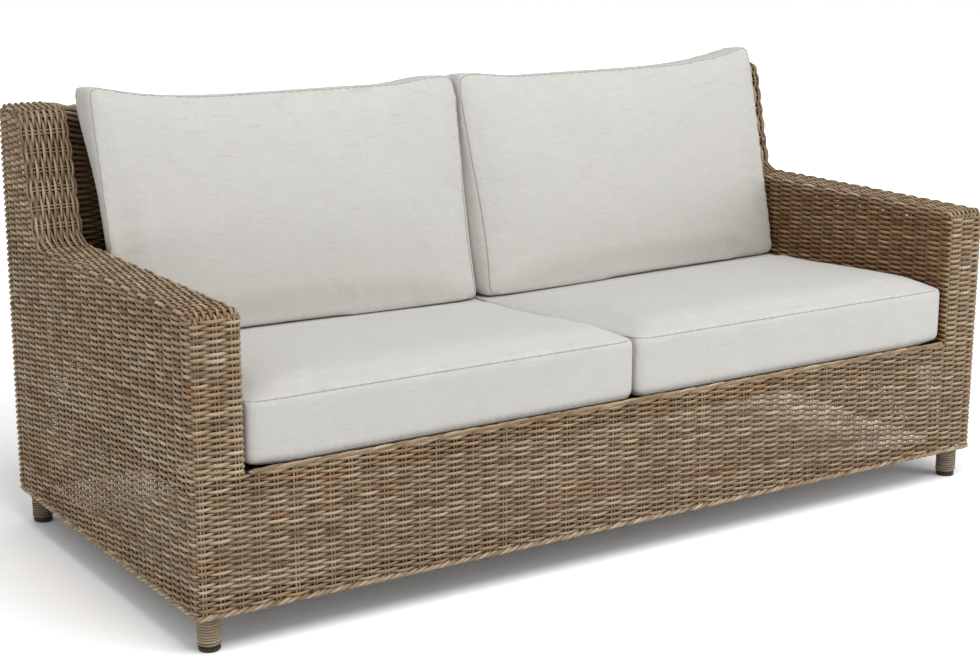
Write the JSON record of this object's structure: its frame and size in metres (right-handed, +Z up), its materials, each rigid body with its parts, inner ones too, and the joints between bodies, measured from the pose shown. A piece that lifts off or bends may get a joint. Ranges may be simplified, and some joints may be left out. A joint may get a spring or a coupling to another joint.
{
  "type": "rattan garden sofa",
  "caption": "Two-cushion garden sofa with woven rattan arms, back and apron on short wrapped feet, and loose boxed seat and back cushions.",
  "frame": {"origin": "on the ground in the middle of the sofa's footprint", "axes": "+Z up, +X along the width to the right as someone standing before the sofa sees it, the front faces -Y"},
  "size_m": [1.9, 0.888, 0.916],
  "materials": {
    "woven_rattan": "matt grey-brown rattan weave",
    "rattan_rope": "matt laid rattan rope",
    "split_cane": "matt split cane wrapping",
    "rattan_pole": "satin rattan pole",
    "slat_wood": "planed softwood",
    "glide_plastic": "moulded, dark",
    "linen": "slubby pale linen",
    "foam": "open-cell foam"
  },
  "bodies": {
    "frame": {"arm_post_left": "rattan_pole", "arm_post_right": "rattan_pole", "arm_rail_left": "rattan_pole", "arm_rail_right": "rattan_pole", "back_stile_centre": "rattan_pole", "back_stile_left": "rattan_pole", "back_stile_right": "rattan_pole", "back_top_rail": "rattan_pole", "foot_wrap_front_left": "split_cane", "foot_wrap_front_right": "split_cane", "foot_wrap_rear_left": "split_cane", "foot_wrap_rear_right": "split_cane", "glide_front_left": "glide_plastic", "glide_front_right": "glide_plastic", "glide_rear_left": "glide_plastic", "glide_rear_right": "glide_plastic", "leg_front_left": "rattan_pole", "leg_front_right": "rattan_pole", "leg_rear_left": "rattan_pole", "leg_rear_right": "rattan_pole", "lower_rail_front": "rattan_pole", "lower_rail_left": "rattan_pole", "lower_rail_rear": "rattan_pole", "lower_rail_right": "rattan_pole", "rim_apron": "rattan_rope", "rim_skirt_front": "rattan_rope", "rim_skirt_left": "rattan_rope", "rim_skirt_rear": "rattan_rope", "rim_skirt_right": "rattan_rope", "seat_beam": "rattan_pole", "seat_rail_front": "rattan_pole", "seat_rail_left": "rattan_pole", "seat_rail_rear": "rattan_pole", "seat_rail_right": "rattan_pole", "seat_slat_1": "slat_wood", "seat_slat_2": "slat_wood", "seat_slat_3": "slat_wood", "seat_slat_4": "slat_wood", "seat_slat_5": "slat_wood", "skin_apron": "woven_rattan", "skin_arm_front_left": "woven_rattan", "skin_arm_front_right": "woven_rattan", "skin_arm_inner_left": "woven_rattan", "skin_arm_inner_right": "woven_rattan", "skin_arm_top_left": "woven_rattan", "skin_arm_top_right": "woven_rattan", "skin_back_inner": "woven_rattan", "skin_back_outer": "woven_rattan", "skin_back_top": "woven_rattan", "skin_side_left": "woven_rattan", "skin_side_right": "woven_rattan"},
    "seat_cushion_left": {"seat_cover_left": "linen", "seat_foam_left": "foam"},
    "back_cushion_left": {"back_cover_left": "linen", "back_foam_left": "foam"},
    "seat_cushion_right": {"seat_cover_right": "linen", "seat_foam_right": "foam"},
    "back_cushion_right": {"back_cover_right": "linen", "back_foam_right": "foam"}
  },
  "joints": [
    {"name": "seat_cushion_left_lift", "type": "slide", "parent": "frame", "child": "seat_cushion_left", "axis": [0, 0, 1], "range_m": [0, 0.6]},
    {"name": "back_cushion_left_lift", "type": "slide", "parent": "seat_cushion_left", "child": "back_cushion_left", "axis": [0, 0, 1], "range_m": [0, 0.45]},
    {"name": "seat_cushion_right_lift", "type": "slide", "parent": "frame", "child": "seat_cushion_right", "axis": [0, 0, 1], "range_m": [0, 0.6]},
    {"name": "back_cushion_right_lift", "type": "slide", "parent": "seat_cushion_right", "child": "back_cushion_right", "axis": [0, 0, 1], "range_m": [0, 0.45]}
  ]
}
